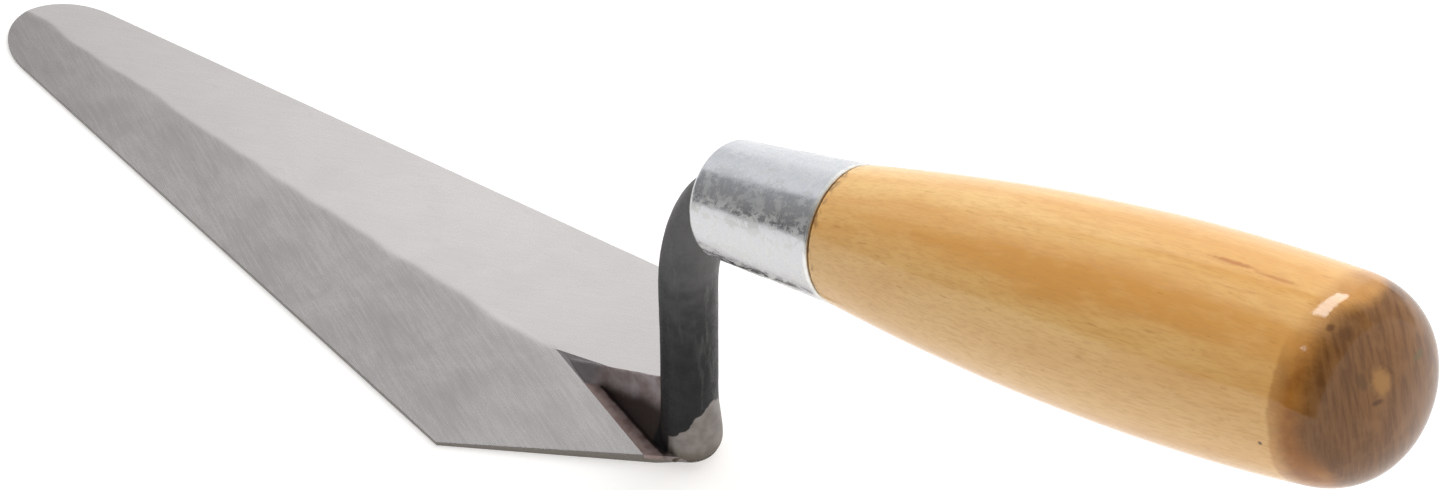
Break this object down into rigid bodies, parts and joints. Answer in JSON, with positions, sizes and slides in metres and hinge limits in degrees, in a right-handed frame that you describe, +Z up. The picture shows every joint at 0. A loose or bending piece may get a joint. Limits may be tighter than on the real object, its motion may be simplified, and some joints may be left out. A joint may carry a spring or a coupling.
{
  "type": "brick trowel",
  "caption": "Long narrow trowel with a round nose and an angled heel, a round bar shank welded to the blade, and a turned wooden handle held by a steel ferrule.",
  "frame": {"origin": "on the blade's flat underside, on the axis of the vertical shank", "axes": "+X along the blade to its tip, +Y to the left of the person who holds the handle, +Z up, from the blade's underside towards the handle"},
  "size_m": [0.3321, 0.0632, 0.1114],
  "materials": {
    "ground_steel": "ground",
    "black_scale": "black mill scale",
    "weld": "heat tinted",
    "zinc_plate": "zinc plated",
    "varnished_wood": "gloss varnish"
  },
  "bodies": {
    "root": {"blade": "ground_steel", "shank": "black_scale", "weld_left": "weld", "weld_right": "weld", "ferrule": "zinc_plate", "handle": "varnished_wood"}
  },
  "joints": []
}
